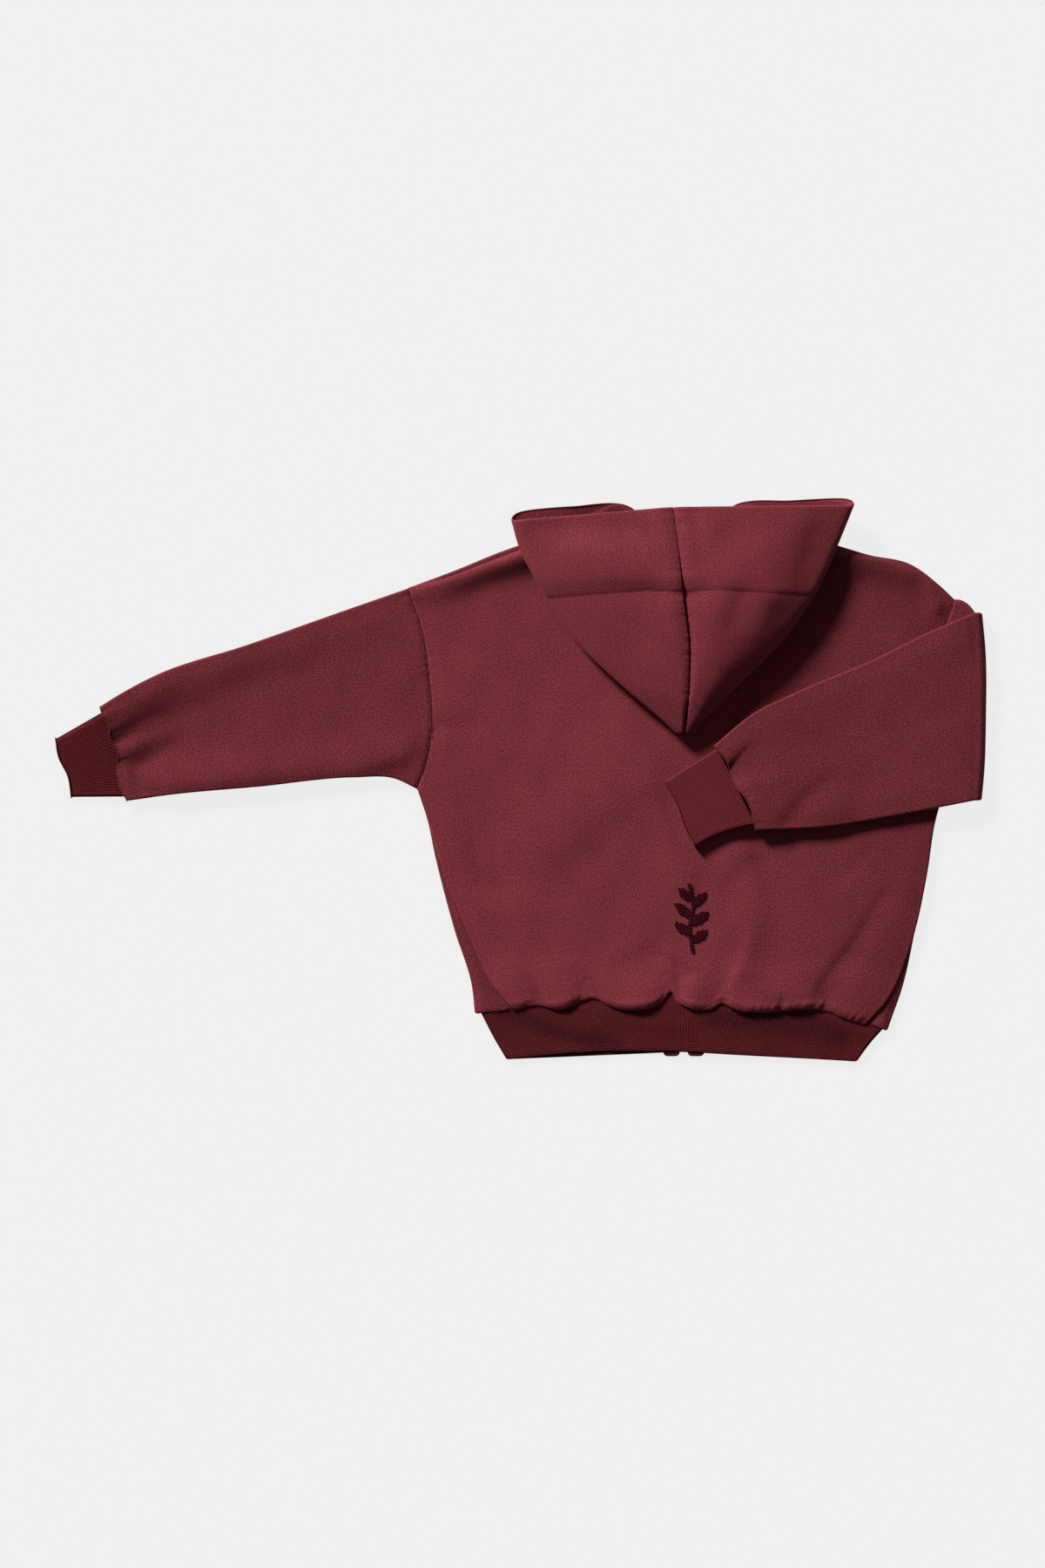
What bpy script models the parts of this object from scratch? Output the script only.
"""Zip up hoodie laid face down: hood back on the shoulders, right sleeve folded over the back.

All sizes are in millimetres. X points to the wearer's right, Y to the neck, Z up from the surface.
"""
import math

import bmesh
import bpy
import numpy as np
from mathutils import Vector

MM = 0.001

# Cloth and seams
WALL = 2.0                # heavy brushed sweat cloth
FACING_WALL = 2.8         # hood mouth, where the facing doubles the cloth
RIB_WALL = 1.5            # ribbed knit of cuffs and hem band
RIB_PITCH = 3.0
RIB_HEIGHT = 0.4
SEAM = 0.4                # gap between neighbouring pieces, measured along the surface
TAPE_WALL = 0.8

# Heights of the middle of each layer above the surface
FLOOR_LAYER = WALL / 2
FLAP_LAYER = 3.6          # front cloth turned up round the side and in under the back
BACK_EDGE = 5.9
BACK_SWELL = 0.5          # how much the back rises from its edges to its middle
SWELL_REACH = 14.0
HEM_PUFF = 3.0            # the back puffs up above the tighter ribs
PUFF_START = 6.0          # distances from the hem seam
PUFF_END = 10.0
PUFF_REACH = 30.0
HEM_LIP = 1.0             # extra height of the seam itself, which hangs over the ribs
LIP_REACH = 12.0
HEM_LOWEST = 6.75         # lowest the back may come over the ribs
OVER_RIBS = 15.0
RIBS_FADE = 10.0
BACK_LOWEST = 4.9         # lowest the back may come elsewhere
BAND_UPPER = 4.15
BAND_LOWER = RIB_WALL / 2
TAPE_LAYER = 2.3 + TAPE_WALL / 2
ON_BACK = 8.7             # lowest layer of what lies on the back

# Zip
ZIP_X = 159.4
FRONT_EDGE = 5.0          # from the zip's middle to each front's edge
TAPE_EDGE = 3.8
TAPE_WIDTH = 16.2
TAPE_CORNER = 4.0
TAPE_BOTTOM = -269.8
TAPE_TOP = 186.0
SLIDER_TOP = 180.0
SLIDER_LENGTH = 12.0
SLIDER_WIDTH = 6.8
SLIDER_HEIGHT = 3.8
SLIDER_SLOPE = 1.5        # length of the sloped end above the pull
METAL_ROUND = 0.3
SLIDER_LIFT = 0.2
PULL_LENGTH = 38.0
PULL_WALL = 1.4
BOX_BOTTOM = -263.0
BOX_LENGTH = 10.0
BOX_TOP = 3.0

# Steps along the body's edge: side, armhole, shoulder
SIDE_STEPS = 7
ARM_STEPS = 6
SHOULDER_STEPS = 6
EDGE_STEPS = SIDE_STEPS + ARM_STEPS + SHOULDER_STEPS
# Steps across the panels, and round a half turn of cloth
BACK_COLUMNS = 34
FRONT_COLUMNS = 9
HALF_TURN = 4

# Seam and fold lines seen from above, (x, y) from the hem up or from left to right
SIDE_SEAM_LEFT = [(-6, -225), (-28.5, -197), (-52.5, -147), (-73.5, -95), (-88, -46.5), (-100.5, -9.5)]
SIDE_FOLD_LEFT = [(-45, -225), (-47.5, -202.5), (-65, -145.5), (-84, -72.5), (-91, -39.5), (-100.5, -10.5)]
ARMHOLE_LEFT = [(-100.5, -9.5), (-92.5, 11), (-85.5, 52), (-88, 98), (-95.5, 146.5), (-109, 187)]
SHOULDER_SEAM_LEFT = [(-109, 187), (-69.5, 197), (-32.5, 211), (36, 236.5), (78.5, 249)]
SHOULDER_FOLD_LEFT = [(-109, 187.5), (-62.5, 205), (-17, 223.5), (36, 240.5), (78.5, 252.5)]
SIDE_SEAM_RIGHT = [(336, -239), (358, -214), (380.5, -162), (396.5, -93.5), (404, -42.5), (413.5, -11)]
SIDE_FOLD_RIGHT = [(359, -242), (371.5, -208), (387, -140), (398, -88), (405, -42.5), (413.5, -12)]
ARMHOLE_RIGHT = [(413.5, -11), (406.5, 21), (402.5, 55), (403.5, 89), (407.5, 127.5), (423, 176)]
SHOULDER_RIGHT = [(423, 176), (408, 190), (380.5, 209.5), (339.5, 218.5), (308, 228), (240, 245.5)]
BACK_NECK = [(78.5, 249), (104, 240.5), (161, 234), (214.5, 238), (240, 245.5)]
FRONT_NECK_LEFT = [(ZIP_X - FRONT_EDGE, 193), (125.5, 198), (97.5, 217), (78.5, 252.5)]
FRONT_NECK_RIGHT = [(ZIP_X + FRONT_EDGE, 193), (193.5, 198), (221.5, 215), (240, 244.5)]
HEM_EDGE = [(-6, -225), (18.5, -220), (35, -224), (75, -213.5), (88.5, -221.5), (109.5, -224.5),
            (140.5, -213.5), (166.5, -224), (186.5, -223), (195, -218), (212, -225), (238.5, -226.5),
            (299, -226), (316.5, -233.5), (336, -239)]
BAND_TOP = [(-39, -226.5), (-8, -222), (44.5, -212.5), (148.5, -210), (257, -216), (329.5, -231.5),
            (354.5, -243)]
BAND_BOTTOM = [(-13.5, -273), (51.5, -267), (135.5, -265.5), (221, -269.5), (328.5, -274.5)]
BAND_LEFT = [(-39, -226.5), (-27, -250), (-13.5, -273)]
BAND_RIGHT = [(354.5, -243), (342.5, -256), (328.5, -274.5)]
BAND_UNDER = 5            # steps of its lower layer on each side of the zip

# Width of front cloth that shows beside the back's edge, at even steps from the hem to the armhole
STRIP_LEFT = (39, 24, 18, 12, 5.5, 3.5, 4, 0.5)
STRIP_RIGHT = (23, 12, 7, 4, 2, 1, 1, 0.5)
STRIP_OVERLAP = 8.0       # what lies hidden under the back
STRIP_END = 0.1           # share of the whole edge over which the strip narrows at the armhole
ALLOWANCE = 5.0           # seam allowance turned in along armhole and shoulder
SHOULDER_EXTRA = 5.0
SHOULDER_TUCK = 1.0       # the right front's shoulder lies this far inside the back's
FLAP_RADIUS = (FLAP_LAYER - FLOOR_LAYER) / 2
# Shares of the hem's width where the fronts' lower edges are placed, from the zip outwards
LEFT_HEM_SHARES = (0.5, 0.35, 0.2, 0.0)
RIGHT_HEM_SHARES = (0.5, 0.65, 0.8, 1.0)

# Sleeves: edges of the flat tube from the armhole to the cuff
SLEEVE_LEFT_TOP = [(-109, 187), (-168, 166.5), (-265.5, 132), (-356.5, 101.5), (-396, 80), (-410, 71)]
SLEEVE_LEFT_BOTTOM = [(-100.5, -9.5), (-123.5, 1), (-162, 2), (-255.5, -7), (-342, -15), (-384, -21)]
SLEEVE_LEFT_END = [(-410, 71), (-402, 48), (-393.5, 31), (-393.5, 5), (-384, -21)]
SLEEVE_TURN = [(443.2, 163), (446.6, 125), (447, 60), (445.5, 10), (442.8, -20.5)]
SLEEVE_RIGHT_TOP = [(443.2, 163), (401.5, 145.5), (348, 119), (268, 85), (228, 65.5), (187, 32)]
SLEEVE_RIGHT_BOTTOM = [(442.8, -20.5), (367.5, -35), (295.5, -46.5), (261.5, -48.5), (228, -49.5)]
SLEEVE_RIGHT_END = [(187, 32), (200, 15.5), (206, -3), (220, -22), (228, -49.5)]
SLEEVE_HALF = (BACK_EDGE - FLOOR_LAYER) / 2
SLEEVE_LEFT_STEPS = 9
SLEEVE_RUN_STEPS = 8
END_CROWDING = 0.06       # rings move towards the cuff, where the form changes most
ARMHOLE_GAP = 1.5 * SEAM
TURN_STEPS = 6
TURN_INNER = (ON_BACK - BACK_EDGE) / 2
SLEEVE_PUFF = 3.6         # rise of the sleeve's upper layer where the cuff gathers it
LEFT_PUFF = (0.15, 0.95)  # shares of the sleeve between which it rises
RIGHT_PUFF = (0.45, 0.95)
RUN_SETTLE = 0.9          # the folded run sinks by this much after the turn
SETTLE_END = 0.3

# Cuffs: edges from inside the sleeve's mouth to the open end
CUFF_LEFT_TOP = [(-404, 68), (-453, 40)]
CUFF_LEFT_BOTTOM = [(-380, -16.5), (-438, -17)]
CUFF_LEFT_OPEN = [(-453, 40), (-450.5, 23), (-441, 3), (-438, -17)]
CUFF_RIGHT_TOP = [(192, 30.5), (140, -2)]
CUFF_RIGHT_BOTTOM = [(230.5, -45), (171.5, -67)]
CUFF_RIGHT_OPEN = [(140, -2), (153, -25), (160.5, -47), (171.5, -67)]
CUFF_HALF = 1.0
CUFF_RIBS = 28
PLAIN_SIDE = 8            # one point for so many ribs on the cuff's underside
# Rows along a cuff: share of its length, height of its underside above what it lies on
CUFF_ROWS = [(0.0, 2.3), (0.22, 2.3), (0.6, 0.3), (1.0, 0.0)]

# Hood half: one row for each section, from the crown seam round the outer fold to the neck seam;
# columns are its name and six places from the mouth to the centre seam, each (x, y, z)
HOOD_SECTIONS = [
    ("crown seam", (149, 263.5, 33), (155, 217, 37), (157.5, 179.5, 37),
     (161, 136, 32), (160, 89, 24), (160, 46.5, 13.8)),
    ("upper middle", (74.5, 257.5, 30), (80.5, 217, 34), (89, 177.5, 33),
     (106, 136, 27), (129.5, 89, 20), (157, 46, 13.6)),
    ("upper outer", (10.5, 252.5, 24), (19, 217, 23), (38, 177.5, 23),
     (70, 134.5, 18), (106, 89, 15.5), (154.5, 46.5, 13.1)),
    ("outer fold", (-7, 251.5, 19), (3, 220, 17), (27, 177, 16.3),
     (56.5, 132, 14), (95, 88.5, 12.8), (152.5, 47, 11.7)),
    ("under outer", (2, 260, 15), (11.5, 220, 12.5), (36, 178.5, 11),
     (66.5, 135, 10.2), (106, 91, 9.8), (156.5, 51, 9.9)),
    ("under middle", (50, 265, 12.0), (40, 236, 9.8), (56, 196, 9.4),
     (89.5, 144.5, 9.4), (128, 108, 9.4), (159.5, 85, 9.4)),
    ("under inner", (104, 266, 5.0), (88, 266, 7.6), (70, 244, 9.4),
     (92, 190, 9.4), (131.5, 150.5, 9.4), (160, 136, 9.4)),
    ("throat", (134, 230, 3.4), (111, 248, 3.9), (97, 259, 6.4),
     (88, 249, 9.4), (117, 204, 9.4), (160, 187, 9.4)),
    ("neck seam", (154.2, 190, 3.4), (118, 204, 3.4), (103, 236, 3.5),
     (101, 254, 6.4), (111, 243, 9.3), (160, 231, 9.3)),
]
HOOD_STEPS = 3            # steps between the places of the table
FOLD_ROW = 3              # the outer fold's row in the table
FACING_PLACES = 2         # the facing runs from the mouth to this place of each section
FACING_SECTIONS = 4       # and from the crown seam to this section
# The right half against the left one, at each of the six places: width, rise along Y, lift along Z
HOOD_RIGHT_WIDTH = (1.06, 0.972, 0.96, 0.895, 0.80, 1.0)
HOOD_RIGHT_RISE = (14.5, 4.0, 2.0, 0.0, 0.0, 0.0)
HOOD_RIGHT_LIFT = (4.0, 7.0, 8.0, 7.0, 4.0, 0.0)
# How much of that each section takes, and of the lift alone
HOOD_RIGHT_SHARE = (1.0, 1.0, 1.0, 1.0, 0.9, 0.6, 0.2, 0.0, 0.0)
HOOD_LIFT_SHARE = (0.3, 0.6, 0.9, 1.0, 0.5, 0.0, 0.0, 0.0, 0.0)

# Largest folds of the upper cloth: piece, start, end, half width, height (a trough is negative)
FOLDS = [
    ("back", (48, -195), (62, -210), 9, -1.6),
    ("back", (62, -210), (79, -214), 6, -1.4),
    ("back", (149, -200), (143, -217), 7, -1.8),
    ("back", (217, -157), (206, -175), 6, 1.2),
    ("back", (206, -175), (187, -221), 6, 2.0),
    ("back", (207, -160), (184, -215), 7, -1.2),
    ("back", (139, -179), (154, -192), 9, -1.0),
    ("back", (311, -183), (299, -199), 12, -1.0),
    ("back", (14, -200), (28, -211), 6, -1.0),
    ("sleeve_left", (-402, 42), (-380, 62), 4, -2.0),
    ("sleeve_left", (-392, 20), (-372, 14), 7, -1.6),
    ("sleeve_right", (201, 7), (213, 18), 4, -2.0),
]

COLOURS = {
    "fleece": ((0.178, 0.031, 0.041), 0.9, 0.0),
    "rib": ((0.085, 0.013, 0.018), 0.95, 0.0),
    "tape": ((0.070, 0.012, 0.016), 0.8, 0.0),
    "metal": ((0.32, 0.30, 0.29), 0.35, 1.0),
}


def blend(start, end, leaving, arriving, w):
    """Point at share w of a smooth span that leaves and arrives with the given slopes."""
    keep = (1 + 2 * w) * (1 - w) ** 2
    return keep * start + (1 - keep) * end + w * (1 - w) ** 2 * leaving + w ** 2 * (w - 1) * arriving


def curve(points):
    """Smooth curve through points, as a function of 0..1 along its length."""
    points = np.array(points, dtype=float)
    steps = np.linalg.norm(np.diff(points, axis=0), axis=1)
    knots = np.concatenate(([0.0], np.cumsum(steps))) / steps.sum()
    slopes = np.gradient(points, knots, axis=0)

    def at(t):
        i = int(np.clip(np.searchsorted(knots, t, side="right") - 1, 0, len(knots) - 2))
        span = knots[i + 1] - knots[i]
        w = (t - knots[i]) / span
        return blend(points[i], points[i + 1], slopes[i] * span, slopes[i + 1] * span, w)
    return at


def polyline(points, steps):
    """Curve cut into straight steps, so that neighbours that share it match exactly."""
    smooth = curve(points)
    marks = np.array([smooth(i / steps) for i in range(steps + 1)])

    def at(t):
        i = min(int(t * steps + 1e-9), steps - 1)
        w = t * steps - i
        return (1 - w) * marks[i] + w * marks[i + 1]
    return at


def chain(*parts):
    """Curves joined end to end, each given with its number of steps."""
    total = sum(steps for _, steps in parts)

    def at(t):
        place = t * total
        for part, steps in parts:
            if place <= steps + 1e-9:
                return part(min(place / steps, 1.0))
            place -= steps
        return parts[-1][0](1.0)
    return at


def panel(bottom, top, left, right):
    """Flat four-sided panel between its edge curves, as a function of across and along."""
    def at(u, v):
        ends = (1 - u) * (1 - v) * bottom(0) + u * (1 - v) * bottom(1) + (1 - u) * v * top(0) + u * v * top(1)
        return (1 - v) * bottom(u) + v * top(u) + (1 - u) * left(v) + u * right(v) - ends
    return at


def fade(x):
    """Smooth change from 0 to 1."""
    x = np.clip(x, 0.0, 1.0)
    return x * x * (3 - 2 * x)


def rise(v, span):
    """Smooth change from 0 to 1 between the two ends of a span."""
    return fade((v - span[0]) / (span[1] - span[0]))


def relief(piece, x, y):
    """Height that the folds of a piece add at a place."""
    total = 0.0
    for owner, start, end, half, height in FOLDS:
        if owner != piece:
            continue
        a, b, p = np.array(start, float), np.array(end, float), np.array((x, y), float)
        w = np.clip(np.dot(p - a, b - a) / np.dot(b - a, b - a), 0.0, 1.0)
        distance = np.linalg.norm(p - a - w * (b - a))
        total += height * math.exp(-(distance / half) ** 2)
    return total


def material(slot):
    name = "hoodie_" + slot
    if name in bpy.data.materials:
        return bpy.data.materials[name]
    colour, roughness, metallic = COLOURS[slot]
    made = bpy.data.materials.new(name)
    made.use_nodes = True
    shader = made.node_tree.nodes["Principled BSDF"]
    shader.inputs["Base Color"].default_value = (*colour, 1.0)
    shader.inputs["Roughness"].default_value = roughness
    shader.inputs["Metallic"].default_value = metallic
    return made


def finish(name, bm, slot):
    """Turn a bmesh in millimetres into a named object of the part."""
    bmesh.ops.scale(bm, vec=(MM, MM, MM), verts=bm.verts)
    bmesh.ops.recalc_face_normals(bm, faces=bm.faces)
    mesh = bpy.data.meshes.new(name)
    bm.to_mesh(mesh)
    bm.free()
    mesh.materials.append(material(slot))
    mesh.shade_smooth()
    part = bpy.data.objects.new(name, mesh)
    bpy.data.collections["hoodie"].objects.link(part)
    return part


def directions(grid, loop):
    """Unit normals of a grid of points; a loop closes on itself across."""
    if loop:
        across = np.roll(grid, -1, axis=1) - np.roll(grid, 1, axis=1)
    else:
        across = np.gradient(grid, axis=1)
    along = np.gradient(grid, axis=0)
    normal = np.cross(across, along)
    return normal / np.linalg.norm(normal, axis=2, keepdims=True)


def cloth(name, grid, slot="fleece", outer=WALL / 2, inner=WALL / 2, loop=False):
    """Closed wall of cloth on both sides of a grid of middle points [along][across]."""
    grid = np.array(grid, dtype=float)
    normal = directions(grid, loop)
    thick_out = np.broadcast_to(np.asarray(outer, dtype=float), grid.shape[:2])[..., None]
    thick_in = np.broadcast_to(np.asarray(inner, dtype=float), grid.shape[:2])[..., None]
    bm = bmesh.new()
    skins = []
    for side in (grid + normal * thick_out, grid - normal * thick_in):
        skins.append([[bm.verts.new(point) for point in row] for row in side])
    rows, columns = grid.shape[:2]
    spans = columns if loop else columns - 1
    for skin in skins:
        for j in range(rows - 1):
            for i in range(spans):
                k = (i + 1) % columns
                bm.faces.new((skin[j][i], skin[j][k], skin[j + 1][k], skin[j + 1][i]))
    top, under = skins
    for j in (0, rows - 1):
        for i in range(spans):
            k = (i + 1) % columns
            bm.faces.new((top[j][i], top[j][k], under[j][k], under[j][i]))
    if not loop:
        for i in (0, columns - 1):
            for j in range(rows - 1):
                bm.faces.new((top[j][i], top[j + 1][i], under[j + 1][i], under[j][i]))
    return finish(name, bm, slot)


def body_edge(side, armhole, shoulder):
    return chain((curve(side), SIDE_STEPS), (polyline(armhole, ARM_STEPS), ARM_STEPS),
                 (curve(shoulder), SHOULDER_STEPS))


def back_heights(row, from_hem):
    """Heights of one row of the back: swollen inside its edges and puffed above the ribs."""
    from_side = np.minimum(row[:, 0] - row[0, 0], row[-1, 0] - row[:, 0])
    swell = BACK_SWELL * fade(from_side / SWELL_REACH)
    puff = HEM_PUFF * fade(from_hem / PUFF_START) * (1 - fade((from_hem - PUFF_END) / PUFF_REACH))
    lip = HEM_LIP * (1 - fade(from_hem / LIP_REACH))
    folds = np.array([relief("back", x, y) for x, y in row])
    over_ribs = 1 - fade((from_hem - OVER_RIBS) / RIBS_FADE)
    lowest = BACK_LOWEST + (HEM_LOWEST - BACK_LOWEST) * over_ribs
    return np.maximum(BACK_EDGE + swell + puff + lip + folds, lowest)


def make_back():
    """Back panel: the whole upper layer of the body, puffed above the hem."""
    left = body_edge(SIDE_SEAM_LEFT, ARMHOLE_LEFT, SHOULDER_SEAM_LEFT)
    right = body_edge(SIDE_SEAM_RIGHT, ARMHOLE_RIGHT, SHOULDER_RIGHT)
    flat = panel(curve(HEM_EDGE), curve(BACK_NECK), left, right)
    across = [i / BACK_COLUMNS for i in range(BACK_COLUMNS + 1)]
    hem = np.array([flat(u, 0) for u in across])
    grid = []
    for j in range(EDGE_STEPS + 1):
        row = np.array([flat(u, j / EDGE_STEPS) for u in across])
        row[0, 0] += SEAM / 2
        row[-1, 0] -= SEAM / 2
        grid.append(np.column_stack((row, back_heights(row, row[:, 1] - hem[:, 1]))))
    return cloth("back", grid)


def make_front(name, zip_edge, side, armhole, shoulder, neck, strip, hem, turn):
    """Front panel: flat on the surface, its outer edge turned up and in under the back."""
    outline = body_edge(side, armhole, shoulder)
    flat = panel(curve(hem), curve(neck), curve([(zip_edge, hem[0][1]), (zip_edge, neck[0][1])]), outline)
    edge = np.array([outline(j / EDGE_STEPS) for j in range(EDGE_STEPS + 1)])
    tangent = np.gradient(edge, axis=0)
    inward = np.column_stack((-tangent[:, 1], tangent[:, 0])) * turn
    inward = inward / np.linalg.norm(inward, axis=1, keepdims=True)
    grid = []
    for j in range(EDGE_STEPS + 1):
        v = j / EDGE_STEPS
        fold = edge[j] + inward[j] * (WALL / 2 + FLAP_RADIUS + SEAM / 2)
        row = []
        for i in range(FRONT_COLUMNS):
            w = i / FRONT_COLUMNS
            row.append((*(flat(w, v) + (fold - edge[j]) * w), FLOOR_LAYER))
        for step in range(HALF_TURN + 1):
            angle = math.pi * step / HALF_TURN
            place = fold - inward[j] * FLAP_RADIUS * math.sin(angle)
            row.append((*place, FLOOR_LAYER + FLAP_RADIUS * (1 - math.cos(angle))))
        reach = strip(v) - WALL / 2 - FLAP_RADIUS
        row.append((*(fold + inward[j] * reach / 2), FLAP_LAYER))
        row.append((*(fold + inward[j] * reach), FLAP_LAYER))
        grid.append(row)
    return cloth(name, grid)


def strip_width(widths):
    """Turned-in width along the edge: the visible strip, then a plain seam allowance."""
    side = curve([(i / (len(widths) - 1), w) for i, w in enumerate(widths)])
    share = SIDE_STEPS / EDGE_STEPS
    shoulder_start = (SIDE_STEPS + ARM_STEPS) / EDGE_STEPS

    def at(v):
        if v <= share:
            return float(side(v / share)[1]) + STRIP_OVERLAP
        if v <= shoulder_start:
            drop = fade((v - share) / STRIP_END)
            return (1 - drop) * (widths[-1] + STRIP_OVERLAP) + drop * ALLOWANCE
        return ALLOWANCE + SHOULDER_EXTRA * math.sin(math.pi * (v - shoulder_start) / (1 - shoulder_start))
    return at


def within(samples, share):
    """Samples of a run that starts and ends a share short of its edges."""
    if samples[1] > 2 * share:
        return [share, *samples[1:-1], 1 - share]
    return [share + t * (1 - 2 * share) for t in samples]


def tube_ring(across, centre, half, angle, samples, lift=None, wall=WALL, coarse=1):
    """One ring of a flat tube: its outer run, a fold, its inner run and the other fold."""
    normal = np.array((math.cos(angle), 0.0, math.sin(angle)))
    chord = np.linalg.norm(across(1.0) - across(0.0))
    samples = within(samples, (half + wall / 2) / chord)
    points = [np.array((*across(t), 0.0)) for t in samples]
    e_first = (points[1] - points[0]) / np.linalg.norm(points[1] - points[0])
    e_last = (points[-1] - points[-2]) / np.linalg.norm(points[-1] - points[-2])
    middle = [p + np.array(centre) for p in points]
    ring = [p + normal * half for p in middle]
    if lift is not None:
        ring = [p + np.array((0, 0, lift(p[0], p[1]))) for p in ring]
    turns = [math.pi * step / HALF_TURN for step in range(1, HALF_TURN)]
    ring += [middle[-1] + half * (e_last * math.sin(a) + normal * math.cos(a)) for a in turns]
    ring += [p - normal * half for p in middle[::-coarse]]
    ring += [middle[0] - half * (e_first * math.sin(a) + normal * math.cos(a)) for a in turns]
    return ring


def shifted(across, dx):
    """The same curve moved along X."""
    return lambda t: across(t) + np.array((dx, 0.0))


def make_sleeve_left():
    """Left sleeve: a flat tube from the armhole, puffed where the cuff gathers it."""
    armhole = polyline(ARMHOLE_LEFT[::-1], ARM_STEPS)
    flat = panel(curve(SLEEVE_LEFT_TOP), curve(SLEEVE_LEFT_BOTTOM), armhole, curve(SLEEVE_LEFT_END))
    across = [i / ARM_STEPS for i in range(ARM_STEPS + 1)]
    grid = []
    for j in range(SLEEVE_LEFT_STEPS + 1):
        v = j / SLEEVE_LEFT_STEPS
        v = v + END_CROWDING * math.sin(math.pi * v)
        half = SLEEVE_HALF + SLEEVE_PUFF / 2 * rise(v, LEFT_PUFF)
        ring = tube_ring(shifted(lambda t: flat(v, t), -SEAM / 2 * (1 - v)), (0, 0, FLOOR_LAYER + half), half,
                         math.pi / 2, across, lambda x, y: relief("sleeve_left", x, y))
        grid.append(ring)
    return cloth("sleeve_left", grid, loop=True)


def make_sleeve_right():
    """Right sleeve: out from the armhole, round a soft fold, and back over the body."""
    armhole = polyline(ARMHOLE_RIGHT[::-1], ARM_STEPS)
    turn = polyline(SLEEVE_TURN, ARM_STEPS)
    under = panel(curve([(423, 176), (443.2, 163)]), curve([(413.5, -11), (442.8, -20.5)]), armhole, turn)
    over = panel(curve(SLEEVE_RIGHT_TOP), curve(SLEEVE_RIGHT_BOTTOM), turn, curve(SLEEVE_RIGHT_END))
    across = [i / ARM_STEPS for i in range(ARM_STEPS + 1)]
    axis = BACK_EDGE + TURN_INNER
    radius = TURN_INNER + SLEEVE_HALF
    grid = []
    for v in (0.0, 0.5):
        grid.append(tube_ring(shifted(lambda t: under(v, t), ARMHOLE_GAP * (1 - v)), (0, 0, axis - radius),
                              SLEEVE_HALF, -math.pi / 2, across))
    for step in range(TURN_STEPS + 1):
        angle = math.pi * (step / TURN_STEPS - 0.5)
        centre = (radius * math.cos(angle), 0, axis + radius * math.sin(angle))
        grid.append(tube_ring(turn, centre, SLEEVE_HALF, angle, across))
    for j in range(1, SLEEVE_RUN_STEPS + 1):
        v = j / SLEEVE_RUN_STEPS
        settle = RUN_SETTLE * fade(v / SETTLE_END)
        puff = (SLEEVE_PUFF + RUN_SETTLE) * rise(v, RIGHT_PUFF)
        half = SLEEVE_HALF + (puff - settle) / 2
        grid.append(tube_ring(lambda t: over(v, t), (0, 0, ON_BACK + half), half, math.pi / 2, across,
                              lambda x, y: relief("sleeve_right", x, y)))
    return cloth("sleeve_right", grid, loop=True)


def make_cuff(name, top, bottom, opening, base):
    """Ribbed cuff: a flat tube that starts inside the sleeve's mouth; ribs run along it on top."""
    flat = panel(curve(top), curve(bottom), curve([top[0], bottom[0]]), curve(opening))
    samples = [i / (2 * CUFF_RIBS) for i in range(2 * CUFF_RIBS + 1)]
    grid = []
    for v, height in CUFF_ROWS:
        low = base + height + RIB_WALL / 2
        grid.append(tube_ring(lambda t: flat(v, t), (0, 0, low + CUFF_HALF), CUFF_HALF, math.pi / 2, samples,
                              wall=RIB_WALL, coarse=PLAIN_SIDE))
    grid = np.array(grid)
    outer = np.full(grid.shape[:2], RIB_WALL / 2)
    outer[:, 1:2 * CUFF_RIBS:2] += RIB_HEIGHT
    return cloth(name, grid, "rib", outer, RIB_WALL / 2, loop=True)


def band_row(run, half):
    """One edge of the hem band: from the zip under the body, round the side, across, and back."""
    left, right = run[0], run[-1]
    at_zip = np.interp(ZIP_X, run[:, 0], run[:, 1])
    start = np.array((ZIP_X - FRONT_EDGE, at_zip))
    end = np.array((ZIP_X + FRONT_EDGE, at_zip))
    turns = [math.pi * step / HALF_TURN for step in range(HALF_TURN + 1)]
    shares = [i / BAND_UNDER for i in range(BAND_UNDER)]
    row = [(*((1 - w) * start + w * left), BAND_LOWER) for w in shares]
    row += [(left[0] - half * math.sin(a), left[1], BAND_LOWER + half * (1 - math.cos(a))) for a in turns]
    row += [(*p, BAND_UPPER) for p in run[1:-1]]
    row += [(right[0] + half * math.sin(a), right[1], BAND_UPPER - half * (1 - math.cos(a))) for a in turns]
    row += [(*((1 - w) * end + w * right), BAND_LOWER) for w in reversed(shares)]
    return row


def make_hem_band():
    """Ribbed hem band: a flat ring of knit, open under the zip; ribs run up and down on top."""
    flat = panel(curve(BAND_BOTTOM), curve(BAND_TOP), curve(BAND_LEFT[::-1]), curve(BAND_RIGHT[::-1]))
    half = (BAND_UPPER - BAND_LOWER) / 2
    spans = 2 * int((BAND_TOP[-1][0] - BAND_TOP[0][0]) / RIB_PITCH)
    grid = []
    for v in (0.0, 1.0):
        share = (half + RIB_WALL / 2) / (flat(1, v)[0] - flat(0, v)[0])
        run = np.array([flat(share + (1 - 2 * share) * i / spans, v) for i in range(spans + 1)])
        grid.append(band_row(run, half))
    grid = np.array(grid)
    outer = np.full(grid.shape[:2], RIB_WALL / 2)
    first = BAND_UNDER + HALF_TURN + 1
    outer[:, first:first + spans - 1:2] += RIB_HEIGHT
    return cloth("hem_band", grid, "rib", outer, RIB_WALL / 2)


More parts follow.
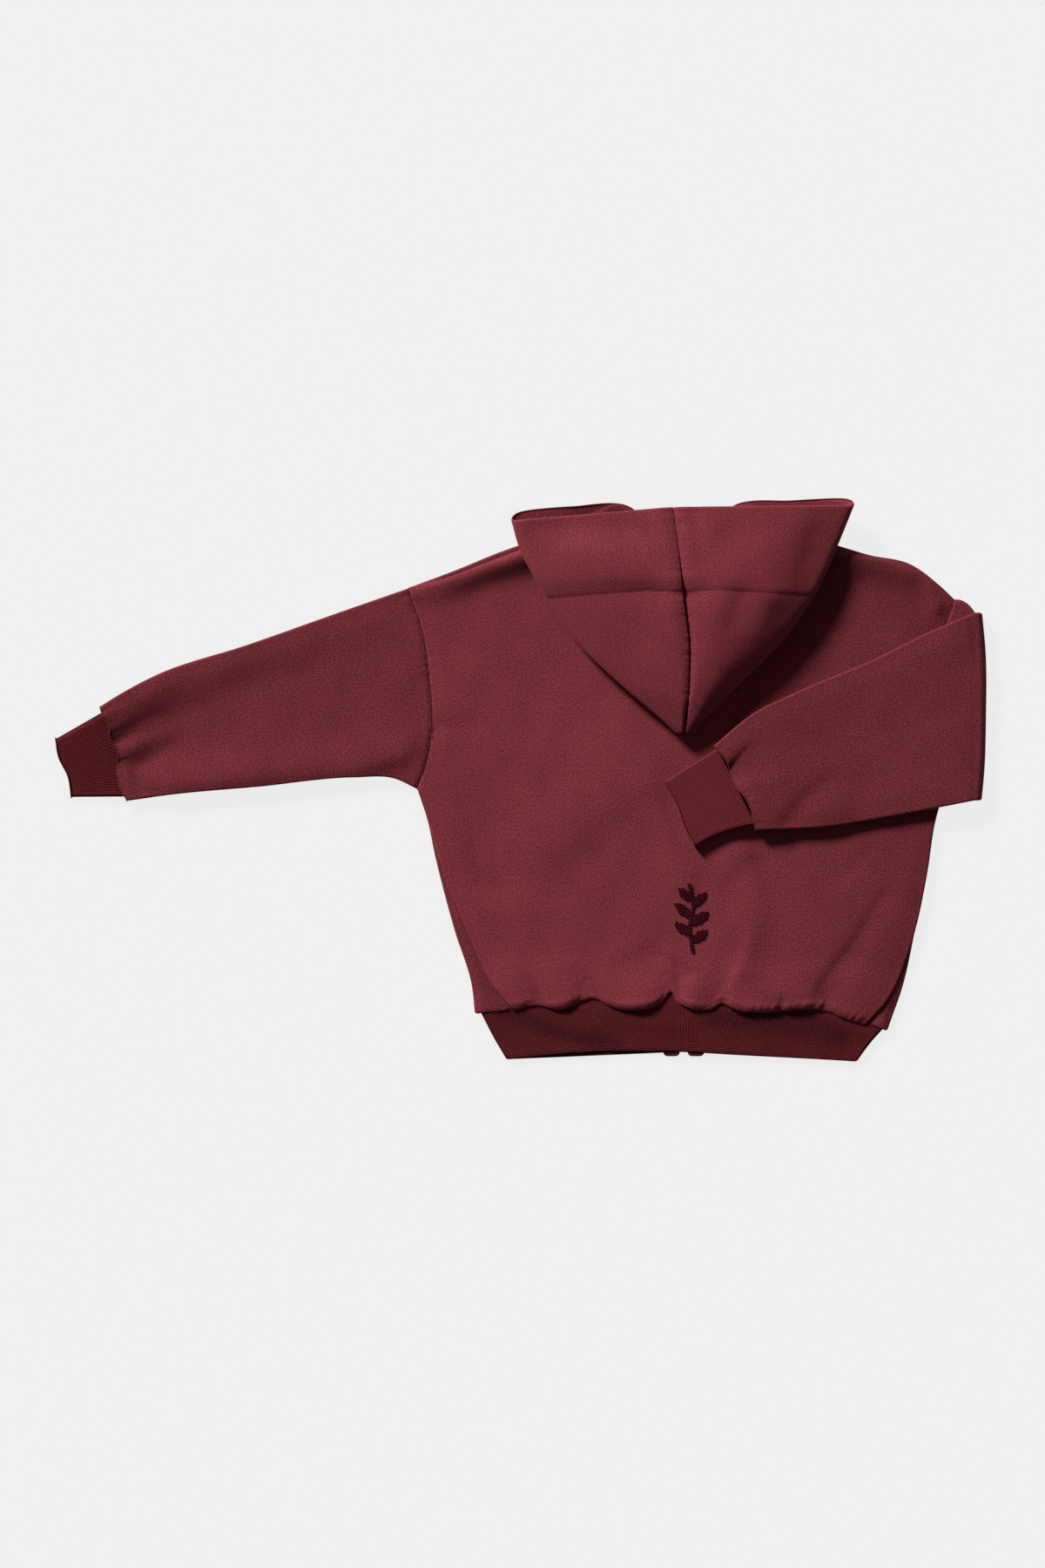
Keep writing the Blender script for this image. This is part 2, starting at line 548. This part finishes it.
def between(table, steps):
    """Finer grid through a table of places, smooth both ways."""
    rows, columns = table.shape[:2]

    def refine(line):
        smooth = []
        slopes = np.gradient(line, axis=0)
        for i in range(len(line) - 1):
            for step in range(steps):
                smooth.append(blend(line[i], line[i + 1], slopes[i], slopes[i + 1], step / steps))
        smooth.append(line[-1])
        return np.array(smooth)
    wide = np.array([refine(table[:, c]) for c in range(columns)])
    return np.array([refine(wide[:, r]) for r in range(wide.shape[1])])


def facing_wall(shape):
    """Thickness inside a hood half's middle surface: doubled where the mouth's facing lies."""
    inside = np.full(shape, WALL / 2)
    doubled = 1 - fade(np.arange(shape[0]) / HOOD_STEPS - FACING_SECTIONS)
    inside[:, :FACING_PLACES * HOOD_STEPS + 1] += (FACING_WALL - WALL) * doubled[:, None]
    return inside


def hood_tables():
    """Places of both halves' sections; the right half is the left one mirrored and reshaped."""
    left = np.array([row[1:] for row in HOOD_SECTIONS], dtype=float)
    seam = left[0, :, 0]
    low = np.linspace(0, 1, len(left))[:, None]
    near_mouth = 1 - np.linspace(0, 1, left.shape[1])
    axis = seam + (ZIP_X - seam) * low * near_mouth
    away = axis - left[:, :, 0]
    taken = np.array(HOOD_RIGHT_SHARE)[:, None]
    right = left.copy()
    right[:, :, 0] = axis + away * (1 + (np.array(HOOD_RIGHT_WIDTH) - 1) * taken)
    right[:, :, 1] += np.clip(away / away[FOLD_ROW], 0, 1) * np.array(HOOD_RIGHT_RISE) * taken
    right[:, :, 2] += np.array(HOOD_LIFT_SHARE)[:, None] * np.array(HOOD_RIGHT_LIFT)
    for half, side in ((left, -1), (right, 1)):
        half[0, :, 0] += side * SEAM / 2
        half[1:, -1, 0] += side * SEAM / 2
    return left, right


def make_hood_halves():
    """Hood halves, each from the crown seam round the outer fold and underneath to the neck seam."""
    left, right = hood_tables()
    left_grid, right_grid = between(left, HOOD_STEPS), between(right, HOOD_STEPS)
    inside = facing_wall(left_grid.shape[:2])
    cloth("hood_left", left_grid, outer=inside, inner=WALL / 2)
    cloth("hood_right", right_grid, outer=WALL / 2, inner=inside)


def block(low, high):
    """Plain block between two corners, as a bmesh."""
    bm = bmesh.new()
    bmesh.ops.create_cube(bm, size=1.0)
    size = Vector(high) - Vector(low)
    bmesh.ops.scale(bm, vec=size, verts=bm.verts)
    bmesh.ops.translate(bm, vec=(Vector(high) + Vector(low)) / 2, verts=bm.verts)
    return bm


def rounded(bm, edges, radius):
    bmesh.ops.bevel(bm, geom=edges, offset=radius, segments=3, profile=0.5, affect="EDGES", material=-1)


def make_tape(name, near, far):
    """Woven tape along one front edge; its lower corners are rounded off below the hem."""
    low, high = sorted((ZIP_X + near, ZIP_X + far))
    bm = block((low, TAPE_BOTTOM, TAPE_LAYER - TAPE_WALL / 2), (high, TAPE_TOP, TAPE_LAYER + TAPE_WALL / 2))
    corners = [e for e in bm.edges if all(v.co.y < 0 for v in e.verts) and e.verts[0].co.x == e.verts[1].co.x]
    rounded(bm, corners, TAPE_CORNER)
    finish(name, bm, "tape")


def make_bottom_box():
    """Box that holds the zip's two sides together at the hem."""
    bm = block((ZIP_X - SLIDER_WIDTH / 2, BOX_BOTTOM, SLIDER_LIFT),
               (ZIP_X + SLIDER_WIDTH / 2, BOX_BOTTOM + BOX_LENGTH, BOX_TOP))
    rounded(bm, list(bm.edges), METAL_ROUND)
    finish("zip_box", bm, "metal")


def make_slider():
    """Slider with its pull laid flat against it, towards the hem."""
    back_end = SLIDER_SLOPE - SLIDER_LENGTH
    side = [(0, 0), (-PULL_LENGTH, 0), (-PULL_LENGTH, PULL_WALL), (-SLIDER_LENGTH, PULL_WALL),
            (back_end, SLIDER_HEIGHT), (-SLIDER_SLOPE, SLIDER_HEIGHT), (0, SLIDER_HEIGHT / 2)]
    left = ZIP_X - SLIDER_WIDTH / 2
    bm = bmesh.new()
    face = bm.faces.new([bm.verts.new((left, SLIDER_TOP + y, SLIDER_LIFT + z)) for y, z in side])
    grown = bmesh.ops.extrude_face_region(bm, geom=[face])["geom"]
    far_side = [g for g in grown if isinstance(g, bmesh.types.BMVert)]
    bmesh.ops.translate(bm, vec=(SLIDER_WIDTH, 0, 0), verts=far_side)
    rounded(bm, [e for e in bm.edges if e.calc_length() < SLIDER_HEIGHT], METAL_ROUND)
    finish("zip_slider", bm, "metal")


def make_zip():
    """Tapes inside the front edges, with the slider and the bottom box between them."""
    make_tape("zip_tape_left", -TAPE_EDGE, -TAPE_EDGE - TAPE_WIDTH)
    make_tape("zip_tape_right", TAPE_EDGE, TAPE_EDGE + TAPE_WIDTH)
    make_bottom_box()
    make_slider()


def front_hem(shares, zip_edge, corner):
    """Lower edge of a front, a seam's gap above the hem band, from the zip to its side fold."""
    band_top = curve(BAND_TOP)
    places = [tuple(band_top(t) + np.array((0.0, SEAM))) for t in shares]
    return [(zip_edge, places[0][1]), *places[1:-1], corner]


def make_fronts():
    """Both fronts, face down under the back."""
    left_edge, right_edge = ZIP_X - FRONT_EDGE, ZIP_X + FRONT_EDGE
    shoulder_right = [(x, y - SHOULDER_TUCK) for x, y in SHOULDER_RIGHT]
    make_front("front_left", left_edge, SIDE_FOLD_LEFT, ARMHOLE_LEFT, SHOULDER_FOLD_LEFT, FRONT_NECK_LEFT,
               strip_width(STRIP_LEFT), front_hem(LEFT_HEM_SHARES, left_edge, SIDE_FOLD_LEFT[0]), -1)
    make_front("front_right", right_edge, SIDE_FOLD_RIGHT, ARMHOLE_RIGHT, shoulder_right, FRONT_NECK_RIGHT,
               strip_width(STRIP_RIGHT), front_hem(RIGHT_HEM_SHARES, right_edge, SIDE_FOLD_RIGHT[0]), 1)


def main():
    for old in list(bpy.data.objects):
        bpy.data.objects.remove(old, do_unlink=True)
    bpy.context.scene.collection.children.link(bpy.data.collections.new("hoodie"))
    make_back()
    make_fronts()
    make_sleeve_left()
    make_sleeve_right()
    make_cuff("cuff_left", CUFF_LEFT_TOP, CUFF_LEFT_BOTTOM, CUFF_LEFT_OPEN, 0.0)
    make_cuff("cuff_right", CUFF_RIGHT_TOP, CUFF_RIGHT_BOTTOM, CUFF_RIGHT_OPEN, ON_BACK - WALL / 2)
    make_hem_band()
    make_hood_halves()
    make_zip()


main()
